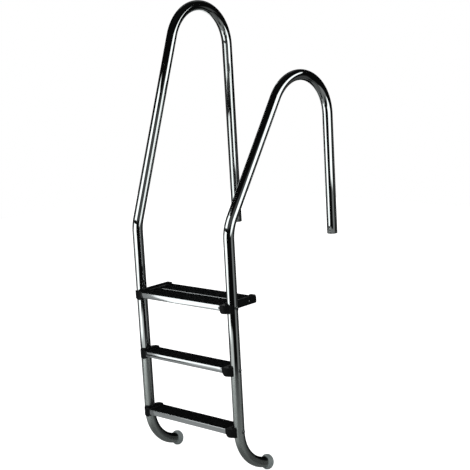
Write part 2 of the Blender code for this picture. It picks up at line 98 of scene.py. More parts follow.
LEVELS = {"lower": NOSE_TOP, "middle": NOSE_TOP + TREAD_PITCH,
          "upper": NOSE_TOP + 2 * TREAD_PITCH}


# ------------------------------------------------------------ node helpers
class Tree:
    """Short calls for building a node tree."""

    def __init__(self, tree):
        self.t = tree
        self.x = 0

    def node(self, kind, **props):
        n = self.t.nodes.new(kind)
        self.x += 180
        n.location = (self.x, -(self.x % 900))
        for k, v in props.items():
            setattr(n, k, v)
        return n

    def put(self, socket, value):
        if value is None:
            return
        if isinstance(value, bpy.types.NodeSocket):
            self.t.links.new(value, socket)
        else:
            socket.default_value = value

    def math(self, op, a, b=None, c=None, clamp=False):
        n = self.node("ShaderNodeMath", operation=op, use_clamp=clamp)
        for s, v in zip(n.inputs, (a, b, c)):
            self.put(s, v)
        return n.outputs[0]

    def ramp(self, v, a, b, lo=0.0, hi=1.0, kind="SMOOTHSTEP"):
        n = self.node("ShaderNodeMapRange", interpolation_type=kind)
        n.clamp = True if kind == "LINEAR" else n.clamp
        self.put(n.inputs["Value"], v)
        self.put(n.inputs["From Min"], a)
        self.put(n.inputs["From Max"], b)
        self.put(n.inputs["To Min"], lo)
        self.put(n.inputs["To Max"], hi)
        return n.outputs["Result"]

    def mix(self, f, a, b, kind="MIX"):
        n = self.node("ShaderNodeMix", data_type="RGBA", blend_type=kind)
        self.put(n.inputs[0], f)
        self.put(n.inputs[6], a)
        self.put(n.inputs[7], b)
        return n.outputs[2]

    def noise(self, vec, scale, detail=3.0, rough=0.5):
        n = self.node("ShaderNodeTexNoise")
        self.put(n.inputs["Vector"], vec)
        self.put(n.inputs["Scale"], scale)
        self.put(n.inputs["Detail"], detail)
        self.put(n.inputs["Roughness"], rough)
        return n.outputs["Fac"]

    def mapping(self, vec, scale=(1, 1, 1), rot=(0, 0, 0)):
        n = self.node("ShaderNodeMapping")
        self.put(n.inputs["Vector"], vec)
        n.inputs["Scale"].default_value = scale
        n.inputs["Rotation"].default_value = rot
        return n.outputs[0]

    def bump(self, height, strength, distance, normal=None):
        n = self.node("ShaderNodeBump")
        self.put(n.inputs["Height"], height)
        n.inputs["Strength"].default_value = strength
        n.inputs["Distance"].default_value = distance
        self.put(n.inputs["Normal"], normal)
        return n.outputs[0]

    def object_coords(self):
        return self.node("ShaderNodeTexCoord").outputs["Object"]

    def z(self, vec):
        n = self.node("ShaderNodeSeparateXYZ")
        self.put(n.inputs[0], vec)
        return n.outputs["Z"]


def material(name):
    m = bpy.data.materials.new(name)
    m.use_nodes = True
    t = Tree(m.node_tree)
    b = m.node_tree.nodes["Principled BSDF"]
    return m, t, b


def rgb(r, g, b):
    return (r, g, b, 1.0)


# ------------------------------------------------------------ materials
def rail_steel():
    """Mirror-polished tube: lengthwise polishing lines, handling smears and
    a duller, finely etched zone where the rail stands in the water."""
    m, t, b = material("rail_polished")
    uv = t.node("ShaderNodeUVMap", uv_map="tube").outputs[0]
    obj = t.object_coords()
    z = t.z(obj)
    lines = t.noise(t.mapping(uv, (6.0, 2600.0, 1.0)), 1.0, 4.0, 0.6)
    smear = t.noise(t.mapping(uv, (9.0, 40.0, 1.0)), 1.0, 3.0, 0.55)
    etch = t.noise(obj, 900.0, 2.0, 0.6)
    wet = t.ramp(t.math("ADD", z, t.math("MULTIPLY", t.noise(obj, 11.0), 0.03)),
                 0.30, 0.18)
    rough = t.math("ADD", t.ramp(smear, 0.35, 0.75, 0.03, 0.06),
                   t.math("MULTIPLY", lines, 0.02))
    low = t.ramp(t.math("ADD", smear, t.math("MULTIPLY", etch, 0.5)),
                 0.5, 1.0, 0.24, 0.36)
    mixed = t.math("ADD", t.math("MULTIPLY", rough, t.math("SUBTRACT", 1.0, wet)),
                   t.math("MULTIPLY", low, wet))
    t.put(b.inputs["Roughness"], mixed)
    colour = t.mix(smear, rgb(0.86, 0.90, 0.89), rgb(0.92, 0.945, 0.94))
    dull = t.mix(etch, rgb(0.76, 0.82, 0.79), rgb(0.86, 0.91, 0.88))
    b.inputs["Metallic"].default_value = 1.0
    # painted dark reflection: the base colour is darkened on the upward-facing side of the
    # submerged foot bends
    up = t.node("ShaderNodeSeparateXYZ")
    t.put(up.inputs[0], t.node("ShaderNodeNewGeometry").outputs["Normal"])
    painted_dark_reflection = t.math("MULTIPLY", t.ramp(up.outputs[2], 0.33, 0.50),
                  t.ramp(t.math("ADD", z, t.math("MULTIPLY", smear, 0.02)),
                         0.02, -0.05))
    # the painted dark reflection on top of the foot bends is mixed over the steel colour
    # here
    t.put(b.inputs["Base Color"], t.mix(painted_dark_reflection, t.mix(wet, colour, dull),
                                        rgb(0.06, 0.07, 0.068)))
    fine = t.bump(lines, 0.008, 0.0002)
    t.put(b.inputs["Normal"], t.bump(etch, 0.01, 0.0002, fine))
    return m


def tread_steel():
    """Folded sheet with a straight brushed grain along the tread."""
    m, t, b = material("tread_brushed")
    obj = t.object_coords()
    grain = t.noise(t.mapping(obj, (7.0, 2300.0, 2300.0)), 1.0, 4.0, 0.65)
    broad = t.noise(t.mapping(obj, (5.0, 160.0, 160.0)), 1.0, 2.0, 0.5)
    t.put(b.inputs["Roughness"], t.math("ADD", t.ramp(grain, 0.3, 0.7, 0.04, 0.075),
                                        t.math("MULTIPLY", broad, 0.02)))
    t.put(b.inputs["Base Color"], t.mix(grain, rgb(0.80, 0.83, 0.84),
                                        rgb(0.92, 0.94, 0.95)))
    b.inputs["Metallic"].default_value = 1.0
    b.inputs["Anisotropic"].default_value = 0.35
    t.put(b.inputs["Normal"], t.bump(grain, 0.02, 0.0002))
    return m


def fastener_steel():
    m, t, b = material("fastener_steel")
    obj = t.object_coords()
    cloud = t.noise(obj, 160.0, 3.0, 0.6)
    turned = t.noise(t.mapping(obj, (2400.0, 300.0, 300.0)), 1.0, 2.0, 0.5)
    t.put(b.inputs["Roughness"], t.ramp(cloud, 0.3, 0.7, 0.16, 0.26))
    t.put(b.inputs["Base Color"], t.mix(cloud, rgb(0.27, 0.285, 0.285),
                                        rgb(0.38, 0.40, 0.40)))
    b.inputs["Metallic"].default_value = 1.0
    t.put(b.inputs["Normal"], t.bump(turned, 0.06, 0.0002))
    return m


def moulded_black():
    """Fine spark-eroded grain on injection-moulded plastic, edges rubbed."""
    m, t, b = material("moulded_black")
    obj = t.object_coords()
    vor = t.node("ShaderNodeTexVoronoi", feature="F1")
    t.put(vor.inputs["Vector"], obj)
    vor.inputs["Scale"].default_value = 1500.0
    grain = vor.outputs["Distance"]
    cloud = t.noise(obj, 45.0, 4.0, 0.6)
    geo = t.node("ShaderNodeNewGeometry")
    worn = t.ramp(geo.outputs["Pointiness"], 0.52, 0.60)
    t.put(b.inputs["Roughness"],
          t.math("SUBTRACT", t.ramp(cloud, 0.3, 0.7, 0.40, 0.54),
                 t.math("MULTIPLY", worn, 0.1)))
    base = t.mix(cloud, rgb(0.003, 0.0036, 0.0038), rgb(0.007, 0.008, 0.0084))
    t.put(b.inputs["Base Color"], t.mix(worn, base, rgb(0.018, 0.02, 0.021)))
    b.inputs["Specular IOR Level"].default_value = 0.15
    t.put(b.inputs["Normal"], t.bump(grain, 0.12, 0.0003))
    return m


def grip_black():
    """Ribbed anti-slip insert: matt, with a pebbled grain and a faint cloudy tone."""
    m, t, b = material("grip_black")
    obj = t.object_coords()
    vor = t.node("ShaderNodeTexVoronoi", feature="F1")
    t.put(vor.inputs["Vector"], obj)
    vor.inputs["Scale"].default_value = 1100.0
    cloud = t.noise(obj, 30.0, 5.0, 0.6)
    t.put(b.inputs["Roughness"], t.ramp(cloud, 0.3, 0.7, 0.58, 0.74))
    t.put(b.inputs["Base Color"], t.mix(cloud, rgb(0.0022, 0.0026, 0.0028),
                                        rgb(0.0048, 0.0054, 0.0058)))
    b.inputs["Specular IOR Level"].default_value = 0.06
    t.put(b.inputs["Normal"], t.bump(vor.outputs["Distance"], 0.2, 0.0004))
    return m


def pad_rubber():
    """Milky grey rubber with a soft bloom and a scuffed contact face."""
    m, t, b = material("pad_rubber")
    obj = t.object_coords()
    cloud = t.noise(obj, 60.0, 4.0, 0.6)
    fine = t.noise(obj, 1400.0, 2.0, 0.5)
    t.put(b.inputs["Base Color"], t.mix(cloud, rgb(0.26, 0.30, 0.295),
                                        rgb(0.36, 0.40, 0.395)))
    t.put(b.inputs["Roughness"], t.ramp(cloud, 0.3, 0.7, 0.34, 0.5))
    b.inputs["Subsurface Weight"].default_value = 0.35
    b.inputs["Subsurface Radius"].default_value = (0.004, 0.004, 0.004)
    b.inputs["Subsurface Scale"].default_value = 1.0
    b.inputs["Coat Weight"].default_value = 0.1
    b.inputs["Coat Roughness"].default_value = 0.3
    t.put(b.inputs["Normal"], t.bump(fine, 0.08, 0.0003))
    return m


MAT = {"rail": rail_steel(), "tread": tread_steel(), "fix": fastener_steel(),
       "mould": moulded_black(), "grip": grip_black(), "pad": pad_rubber()}


# ------------------------------------------------------------ mesh helpers
def build(name, bm, mat, smooth=40.0, weld=True):
    if weld:
        bmesh.ops.recalc_face_normals(bm, faces=bm.faces[:])
    me = bpy.data.meshes.new(name)
    bm.to_mesh(me)
    bm.free()
    ob = bpy.data.objects.new(name, me)
    bpy.context.scene.collection.objects.link(ob)
    me.materials.append(mat)
    me.shade_smooth()
    me.set_sharp_from_angle(angle=math.radians(smooth))
    return ob


def skin(bm, rs, closed=True):
    n = len(rs[0])
    out = []
    for a, b in zip(rs, rs[1:]):
        for k in range(n if closed else n - 1):
            out.append(bm.faces.new((a[k], a[(k + 1) % n],
                                     b[(k + 1) % n], b[k])))
    return out


def applied(ob):
    """Replaces an object's mesh by its evaluated mesh."""
    bpy.context.view_layer.update()
    dg = bpy.context.evaluated_depsgraph_get()
    me = bpy.data.meshes.new_from_object(ob.evaluated_get(dg))
    ob.modifiers.clear()
    old = ob.data
    ob.data = me
    bpy.data.meshes.remove(old)
    return ob


# ------------------------------------------------------------ rails
def fillet(a, b, c, r, steps):
    u = (a - b).normalized()
    v = (c - b).normalized()
    half = u.angle(v) / 2
    t = r / math.tan(half)
    p, q = b + u * t, b + v * t
    centre = b + (u + v).normalized() * (r / math.sin(half))
    a0 = math.atan2(p.y - centre.y, p.x - centre.x)
    a1 = math.atan2(q.y - centre.y, q.x - centre.x)
    while a1 - a0 > math.pi:
        a1 -= 2 * math.pi
    while a1 - a0 < -math.pi:
        a1 += 2 * math.pi
    return [centre + Vector((math.cos(a0 + (a1 - a0) * i / steps),
                             math.sin(a0 + (a1 - a0) * i / steps))) * r
            for i in range(steps + 1)]


def centreline(rail, foot_steps, knee_steps, arch_steps):
    """Tube axis in the rail's own plane as (y, z) points, foot end first."""
    foot = Vector((math.sin(FOOT_TURN), -math.cos(FOOT_TURN)))
    corner = Vector((0.0, FOOT_CORNER_Z))
    foot_end = corner + foot * (FOOT_BEND_R * math.tan(FOOT_TURN / 2)
                                + FOOT_STRAIGHT)
    knee = Vector((0.0, rail["knee"]))
    ra = rail["arch"]
    zc = rail["top"] - ra
    yc = (DECK_Y * math.cos(DECK_LEAN) + zc * math.sin(DECK_LEAN) - ra) \
        / math.cos(DECK_LEAN)
    dz = zc - rail["knee"]
    rise = math.atan2(yc, dz) - math.asin(ra / math.hypot(yc, dz))
    centre = Vector((yc, zc))
    first = centre + Vector((-math.cos(rise), math.sin(rise))) * ra
    a0 = math.pi - rise
    a1 = -DECK_LEAN
    arch = [centre + Vector((math.cos(a0 + (a1 - a0) * i / arch_steps),
                             math.sin(a0 + (a1 - a0) * i / arch_steps))) * ra
            for i in range(arch_steps + 1)]
    end_z = rail["end"]
    end = Vector((DECK_Y + math.tan(DECK_LEAN) * end_z, end_z))
    pts = [foot_end]
    pts += fillet(foot_end, corner, knee, FOOT_BEND_R, foot_steps)
    pts += fillet(corner, knee, first, KNEE_BEND_R, knee_steps)
    pts += arch
    pts.append(end)
    return pts


def in_space(rail, p):
    s = rail["splay"]
    return Vector((rail["side"] * RAIL_X + p.x * math.sin(s),
                   p.x * math.cos(s), p.y))


def filled(pts, step):
    """Adds evenly spaced points on the long straight runs."""
    out = [pts[0]]
    for a, b in zip(pts, pts[1:]):
        n = max(1, int(math.ceil((b - a).length / step)))
        out += [a.lerp(b, i / n) for i in range(1, n + 1)]
    return out


def rail_piece(key, name):
    """Hollow tube with softened cut ends and a lengthwise UV layout."""
    rail = RAILS[key]
    axis = filled(centreline(rail, 60, 28, 110), 40 * MM)
    s = rail["splay"]
    normal = Vector((math.cos(s), -math.sin(s), 0.0))
    sides = 64
    bm = bmesh.new()
    uv = bm.loops.layers.uv.new("tube")

    def ring(p, t, radius, shift=0.0):
        side = Vector((-t.y * math.sin(s), -t.y * math.cos(s), t.x))
        c = in_space(rail, p + t * shift)
        return [bm.verts.new(c + normal * (radius * math.cos(a))
                             + side * (radius * math.sin(a)))
                for a in (2 * math.pi * k / sides for k in range(sides))]

    tangents = []
    for i, p in enumerate(axis):
        a = axis[max(i - 1, 0)]
        b = axis[min(i + 1, len(axis) - 1)]
        tangents.append((b - a).normalized())
    lengths = [0.0]
    for a, b in zip(axis, axis[1:]):
        lengths.append(lengths[-1] + (b - a).length)
    soft = 0.35 * MM
    inner_r = TUBE_R - TUBE_WALL
    rows = []                      # closed profile: outer skin, rim, bore, rim
    rows.append((ring(axis[0], tangents[0], TUBE_R - soft), 0.0))
    rows.append((ring(axis[0], tangents[0], TUBE_R, soft), soft))
    for i in range(1, len(axis) - 1):
        rows.append((ring(axis[i], tangents[i], TUBE_R), lengths[i]))
    rows.append((ring(axis[-1], tangents[-1], TUBE_R, -soft),
                 lengths[-1] - soft))
    rows.append((ring(axis[-1], tangents[-1], TUBE_R - soft), lengths[-1]))
    rows.append((ring(axis[-1], tangents[-1], inner_r + soft),
                 lengths[-1] + TUBE_WALL))
    rows.append((ring(axis[-1], tangents[-1], inner_r, -soft),
                 lengths[-1] + 2 * TUBE_WALL))
    for i in range(len(axis) - 2, 0, -1):
        rows.append((ring(axis[i], tangents[i], inner_r),
                     2 * lengths[-1] - lengths[i] + 2 * TUBE_WALL))
    rows.append((ring(axis[0], tangents[0], inner_r, soft),
                 2 * lengths[-1] + 2 * TUBE_WALL))
    rows.append((ring(axis[0], tangents[0], inner_r + soft),
                 2 * lengths[-1] + 3 * TUBE_WALL))
    girth = 2 * math.pi * TUBE_R
    loops = rows + [(rows[0][0], 2 * lengths[-1] + 4 * TUBE_WALL)]
    for (ra, la), (rb, lb) in zip(loops, loops[1:]):
        for k in range(sides):
            n = (k + 1) % sides
            f = bm.faces.new((ra[k], ra[n], rb[n], rb[k]))
            v0, v1 = girth * k / sides, girth * (k + 1) / sides
            for loop, co in zip(f.loops, ((la, v0), (la, v1),
                                          (lb, v1), (lb, v0))):
                loop[uv].uv = co
    ob = build(name, bm, MAT["rail"], 60.0)
    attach(ob, BODY)
    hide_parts(name.replace("_tube", ""))
    return ob


rail_piece("left", "rail_left_tall_tube")
rail_piece("right", "rail_right_short_tube")


# ------------------------------------------------------------ treads
def round_path(points, radii, steps=4):
    """Rounds the corners of an open (y, z) path."""
    out = [Vector(points[0])]
    for i in range(1, len(points) - 1):
        a, b, c = Vector(points[i - 1]), Vector(points[i]), Vector(points[i + 1])
        r = radii[i]
        if not r:
            out.append(b)
            continue
        u, v = (a - b), (c - b)
        half = u.angle(v) / 2
        t = min(r / math.tan(half), u.length * 0.49, v.length * 0.49)
        out += fillet(a, b, c, t * math.tan(half), steps)
    out.append(Vector(points[-1]))
    return out


def offset_pair(mid, h):
    one, two = [], []
    for i, p in enumerate(mid):
        a = mid[max(i - 1, 0)]
        c = mid[min(i + 1, len(mid) - 1)]
        d1 = (p - a).normalized() if i else (c - p).normalized()
        d2 = (c - p).normalized() if i < len(mid) - 1 else d1
        m = (d1 + d2).normalized()
        n = Vector((-m.y, m.x))
        w = h / max(0.6, n.dot(Vector((-d1.y, d1.x))))
        one.append(p + n * w)
        two.append(p - n * w)
    return one, two


def tread_piece(label, z0, y0, y1, half, lip):
    h = SHEET / 2
    low, high = -NOSE_H + h, -h
    pts = [(y0 + 11 * MM, low), (y0 + 0.6 * MM, low)]
    steps = 10
    for i in range(1, steps):
        f = i / steps
        pts.append((y0 + h - 0.7 * MM * math.sin(math.pi * f),
                    low + 0.9 * MM + f * (high - low - 1.3 * MM)))
    pts += [(y0 + h, high), (y0 + lip, high), (y0 + lip, TRAY_Z - h),
            (y1 - h, TRAY_Z - h), (y1 - h, low), (y1 - 11 * MM, low)]
    n = len(pts)
    radii = [0.0] * n
    radii[1] = 1.2 * MM
    radii[steps + 1] = 0.7 * MM
    radii[steps + 2] = 0.45 * MM
    radii[steps + 3] = 0.4 * MM
    radii[steps + 4] = 0.9 * MM
    radii[steps + 5] = 1.0 * MM
    mid = round_path(pts, radii)
    one, two = offset_pair(mid, h)
    outline = one + two[::-1]
    bm = bmesh.new()
    soft = 0.25 * MM
    xs = [-half, -half + soft] + [-half + soft + (2 * half - 2 * soft) * i / 12
                                  for i in range(1, 12)] + [half - soft, half]
    rs = []
    for j, x in enumerate(xs):
        inset = soft * 0.6 if j in (0, len(xs) - 1) else 0.0
        ring = []
        for k in range(len(outline)):
            i = k if k < len(one) else len(outline) - 1 - k
            p = outline[k]
            if inset:
                d = mid[i] - p
                p = p + d.normalized() * inset
            ring.append(bm.verts.new((x, p.x, p.y + z0)))
        rs.append(ring)
    skin(bm, rs)
    m = len(one)
    for ring in (rs[0], rs[-1]):
        for k in range(m - 1):
            bm.faces.new((ring[k], ring[k + 1],
                          ring[2 * m - 2 - k], ring[2 * m - 1 - k]))
    ob = build("sheet_" + label, bm, MAT["tread"], 50.0)
    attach(ob, BODY)
    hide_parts("tread_" + label)
    return ob


def grip_piece(label, z0, y0, y1, ribs, half, lip):
    """Insert with round-topped ribs, each split by two fine grooves."""
    a, b = y0 + lip + SHEET / 2 + GAP, y1 - 0.1 * MM
    base = TRAY_Z + GAP
    low = -0.5 * MM
    pitch = (b - a) / ribs
    top = [(a, low + 0.3 * MM)]
    for i in range(ribs):
        s = a + i * pitch
        top += [(s + pitch * 0.14, low), (s + pitch * 0.20, low + 0.1 * MM)]
        for j in range(3):
            c = s + pitch * (0.33 + 0.235 * j)
            w = pitch * 0.088
            crown = GRIP_TOP - (0.0 if j == 1 else 0.08 * MM)
            for q in range(7):
                t = math.pi * (1 - q / 6)
                top.append((c + w * math.cos(t),
                            crown - 0.55 * MM * (1 - math.sin(t))))
            if j < 2:
                top.append((c + w + pitch * 0.03, crown - 0.75 * MM))
        top += [(s + pitch * 0.94, low + 0.1 * MM)]
    top += [(b - 0.3 * MM, low), (b, low - 0.3 * MM)]
    top = sorted(top, key=lambda p: p[0])
    clean = [top[0]]
    for p in top[1:]:
        if p[0] - clean[-1][0] > 0.01 * MM:
            clean.append(p)
    top = clean
    bm = bmesh.new()
    soft = 0.4 * MM
    n = 10
    xs = [-half, -half + soft * 0.3, -half + soft]
    xs += [-half + soft + (2 * half - 2 * soft) * i / n for i in range(1, n)]
    xs += [half - soft, half - soft * 0.3, half]
    drop = [soft, soft * 0.3] + [0.0] * (len(xs) - 4) + [soft * 0.3, soft]
    rs = []
    for x, d in zip(xs, drop):
        rs.append([bm.verts.new((x, y, max(z - d, base + 0.2 * MM) + z0))
                   for y, z in top]
                  + [bm.verts.new((x, y, base + z0)) for y, _ in top[::-1]])
    skin(bm, rs)
    m = len(top)
    for ring in (rs[0], rs[-1]):
        for k in range(m - 1):
            bm.faces.new((ring[k], ring[k + 1],
                          ring[2 * m - 2 - k], ring[2 * m - 1 - k]))
    ob = build("insert_" + label, bm, MAT["grip"], 50.0)
    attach(ob, BODY)
    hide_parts("grip_" + label)
    return ob


for label, level, y0, y1, u, ribs in (
        ("lower", "lower", NOSE_Y, SINGLE_BACK_Y, SINGLE_NOSE_U, 8),
        ("middle", "middle", NOSE_Y, SINGLE_BACK_Y, SINGLE_NOSE_U, 8),
        ("upper_front", "upper", NOSE_Y, SEAM_Y - 0.9 * MM, UPPER_NOSE_U, 9),
        ("upper_rear", "upper", SEAM_Y, UPPER_BACK_Y, UPPER_NOSE_U, 9)):
    z0 = LEVELS[level]
    lip = SEAM_LIP if label == "upper_rear" else LIP
    tread_piece(label, z0, y0, y1, RAIL_X - u, lip)
    if label == "upper_front":
        y1 -= SEAM_STEP
    grip_piece(label, z0, y0, y1, ribs, RAIL_X - u, lip)


# ------------------------------------------------------------ moulded pieces
def moulded(node, name):
    """The CAD solid remeshed finely and relaxed, so that every edge gets the
    small radius a moulding has."""
    src = NODES[node]
    me = src.data.copy()
    ob = bpy.data.objects.new(name, me)
    bpy.context.scene.collection.objects.link(ob)
    me.materials.clear()
    bm = bmesh.new()
    bm.from_mesh(me)
    bmesh.ops.remove_doubles(bm, verts=bm.verts[:], dist=0.00002)
    bm.to_mesh(me)
    bm.free()
    re = ob.modifiers.new("remesh", "REMESH")
    re.mode = "VOXEL"
    re.voxel_size = 0.9 * MM
    re.use_smooth_shade = True
    sm = ob.modifiers.new("relax", "SMOOTH")
    sm.factor = 0.5
    sm.iterations = 5
    applied(ob)
    ob.data.materials.clear()
    ob.data.materials.append(MAT["mould"])
    ob.data.shade_smooth()
    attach(ob, BODY)
    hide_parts(node)
    return ob


for key in ("left", "right"):
    for label in ("lower", "middle"):
        moulded(f"end_cap_{label}_{key}", f"cap_{label}_{key}")
    moulded(f"side_bracket_upper_{key}", f"bracket_upper_{key}")


# ------------------------------------------------------------ fasteners
def turned(name, node, side, x_at, y, z, profile, sides, mat, smooth=35.0,
           socket=None):
    """Turned piece along X. profile is (distance inboard, radius), starting on
    the axis at the head; socket = (across flats, depth) of a hex recess."""
    bm = bmesh.new()
    rs = []
    last = None
    rows = list(profile)
    if socket:
        af, depth = socket
        first_s = rows[0][0]
        r = af / 2 / math.cos(math.pi / 6)

        def hexring(s, scale=1.0):
            out = []
            for k in range(sides):
                a = 2 * math.pi * k / sides
                f = (a % (math.pi / 3)) - math.pi / 6
                q = r * math.cos(math.pi / 6) / math.cos(f) * scale
                out.append(bm.verts.new((x_at - side * s, y + q * math.cos(a),
                                         z + q * math.sin(a))))
            return out
        pole = bm.verts.new((x_at - side * (first_s + depth + 0.5 * MM), y, z))
        rs.append(hexring(first_s + depth, 0.96))
        rs.append(hexring(first_s + 0.15 * MM))
        rs.append(hexring(first_s, 1.06))
        rows = rows[1:]
    else:
        pole = bm.verts.new((x_at - side * rows[0][0], y, z))
        rows = rows[1:]
    for s, r in rows:
        if r == 0.0:
            last = bm.verts.new((x_at - side * s, y, z))
            continue
        rs.append([bm.verts.new((x_at - side * s, y + r * math.cos(a),
                                 z + r * math.sin(a)))
                   for a in (2 * math.pi * k / sides for k in range(sides))])
    skin(bm, rs)
    for p, ring in ((pole, rs[0]), (last, rs[-1])):
        for k in range(sides):
            bm.faces.new((p, ring[k], ring[(k + 1) % sides]))
    ob = build(name, bm, mat, smooth)
    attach(ob, BODY)
    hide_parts(node)
    return ob


for key in ("left", "right"):
    side = RAILS[key]["side"]
    for label, z0 in LEVELS.items():
        prof = [(-3.6 * MM, 0.0), (-3.6 * MM, 3.3 * MM), (-3.45 * MM, 4.1 * MM),
                (-3.1 * MM, 5.0 * MM), (-2.5 * MM, 5.8 * MM),
                (-1.7 * MM, 6.5 * MM), (-0.9 * MM, 6.9 * MM),
                (-0.4 * MM, 7.0 * MM), (-0.05 * MM, 6.95 * MM),
                (0.0, 6.8 * MM), (0.0, BOLT_R)]
        # rolled thread on the last stretch of the shank
        s = 64 * MM
        while s < 80 * MM:
            prof += [(s, BOLT_R - 0.05 * MM), (s + 0.6 * MM, BOLT_R - 0.6 * MM)]
            s += 1.25 * MM
        prof += [(80.4 * MM, BOLT_R - 0.1 * MM), (81.4 * MM, 3.2 * MM),
                 (81.4 * MM, 0.0)]
        turned(f"dome_bolt_{label}_{key}", f"bolt_{label}_{key}", side,
               side * (RAIL_X + 22.9 * MM), 0.0, z0 + BOLT_Z, prof, 36,
               MAT["fix"], socket=(5.0 * MM, 2.0 * MM))
    prof = [(-3.0 * MM, 0.0), (-3.0 * MM, 2.7 * MM), (-2.8 * MM, 3.5 * MM),
            (-2.3 * MM, 4.3 * MM), (-1.6 * MM, 4.9 * MM), (-0.6 * MM, 5.25 * MM),
            (-0.1 * MM, 5.25 * MM), (0.0, 5.1 * MM), (0.0, SCREW_R)]
    s = 38 * MM
    while s < 49 * MM:
        prof += [(s, SCREW_R - 0.05 * MM), (s + 0.5 * MM, SCREW_R - 0.5 * MM)]
        s += 1.0 * MM
    prof += [(49.6 * MM, SCREW_R - 0.1 * MM), (50 * MM, 2.5 * MM), (50 * MM, 0.0)]
    turned(f"dome_screw_{key}", f"rear_screw_{key}", side,
           side * (RAIL_X - 7.9 * MM), SCREW_Y, LEVELS["upper"] + BOLT_Z,
           prof, 30, MAT["fix"], socket=(4.0 * MM, 1.6 * MM))


def hexagon_nut(name, node, side, y, z, af, hole, u0, thick):
    """Hexagon nut with both faces chamfered to a circle."""
    bm = bmesh.new()
    sides = 48
    x_of = lambda d: side * (RAIL_X - u0 - d)

    def ring(d, fn):
        return [bm.verts.new((x_of(d), y + fn(a) * math.cos(a),
                              z + fn(a) * math.sin(a)))
                for a in (2 * math.pi * k / sides for k in range(sides))]

    def hexr(a):
        return af / 2 / math.cos((a % (math.pi / 3)) - math.pi / 6)

    cham = lambda lim: (lambda a: min(hexr(a), lim))
    rs = [ring(0.0, cham(af * 0.475)),
          ring(0.45 * MM, cham(af * 0.53)),
          ring(0.8 * MM, hexr), ring(thick - 0.8 * MM, hexr),
          ring(thick - 0.45 * MM, cham(af * 0.53)),
          ring(thick, cham(af * 0.475)),
          ring(thick, lambda a: hole + 0.5 * MM),
          ring(thick - 0.5 * MM, lambda a: hole),
          ring(0.5 * MM, lambda a: hole), ring(0.0, lambda a: hole + 0.5 * MM)]
    skin(bm, rs + [rs[0]])
    ob = build(name, bm, MAT["fix"], 25.0)
    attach(ob, BODY)
    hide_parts(node)
    return ob


for key in ("left", "right"):
    side = RAILS[key]["side"]
    for label, z0 in LEVELS.items():
        hexagon_nut(f"hex_nut_{label}_{key}", f"nut_{label}_{key}", side, 0.0,
                    z0 + BOLT_Z, 13 * MM, BOLT_R + 0.3 * MM, 50.3 * MM,
                    6.5 * MM)
        washer = NODES[f"saddle_washer_{label}_{key}"]
        washer.data.materials.clear()
        washer.data.materials.append(MAT["fix"])
    hexagon_nut(f"hex_nut_rear_{key}", f"rear_nut_{key}", side, SCREW_Y,
                LEVELS["upper"] + BOLT_Z, 10 * MM, SCREW_R + 0.3 * MM,
                50.3 * MM, 5 * MM)


# ------------------------------------------------------------ wall pads
def pad_piece(key):
    rail = RAILS[key]
    pts = centreline(rail, 9, 4, 20)
    s = rail["splay"]
    foot = (pts[0] - pts[1]).normalized()
    along = Vector((foot.x * math.sin(s), foot.x * math.cos(s), foot.y))
    across = Vector((math.cos(s), -math.sin(s), 0.0))
    third = along.cross(across)
    start = in_space(rail, pts[0])
    inner_r = TUBE_R - TUBE_WALL - 0.7 * MM
    outer_r = TUBE_R + GAP
    path = [(-13, 0), (-13, inner_r / MM - 1), (-12, inner_r / MM),
            (0.3, inner_r / MM), (0.3, outer_r / MM), (-13, outer_r / MM),
            (-13.4, 22.8), (-12.4, 23.8), (-8, 25.6), (-4, 29.2), (-1, 30.8),
            (2, 31), (7, 31), (11, 29.4), (14.5, 25), (17, 18.5), (18, 12),
            (18, 0)]
    radii = [0, 0.4, 0.4, 0.1, 0.1, 0.2, 0.4, 1.0, 4, 3, 2, 1.5, 3, 4, 5, 4,
             3, 0]
    path = round_path([(a * MM, b * MM) for a, b in path],
                      [r * MM for r in radii], 4)
    sides = 96
    bm = bmesh.new()
    rs, poles = [], []
    for p in path:
        d, r = p.x, p.y
        c = start + along * d
        if r < 1e-7:
            poles.append(bm.verts.new(c))
        else:
            rs.append([bm.verts.new(c + across * (r * math.cos(a))
                                    + third * (r * math.sin(a)))
                       for a in (2 * math.pi * k / sides
                                 for k in range(sides))])
    skin(bm, rs)
    for pole, ring in zip(poles, (rs[0], rs[-1])):
        for k in range(sides):
            bm.faces.new((pole, ring[k], ring[(k + 1) % sides]))
    ob = build(f"pad_{key}", bm, MAT["pad"], 50.0)
    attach(ob, BODY)
    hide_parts(f"wall_pad_{key}")
    return ob


for key in ("left", "right"):
    pad_piece(key)


# ------------------------------------------------------------ studio
def box_window(t, v, lo, hi, soft_lo, soft_hi):
    """1 between lo and hi, falling to 0 over the soft widths outside."""
    up = t.ramp(v, lo - soft_lo, lo)
    down = t.ramp(v, hi, hi + soft_hi, 1.0, 0.0)
    return t.math("MULTIPLY", up, down)


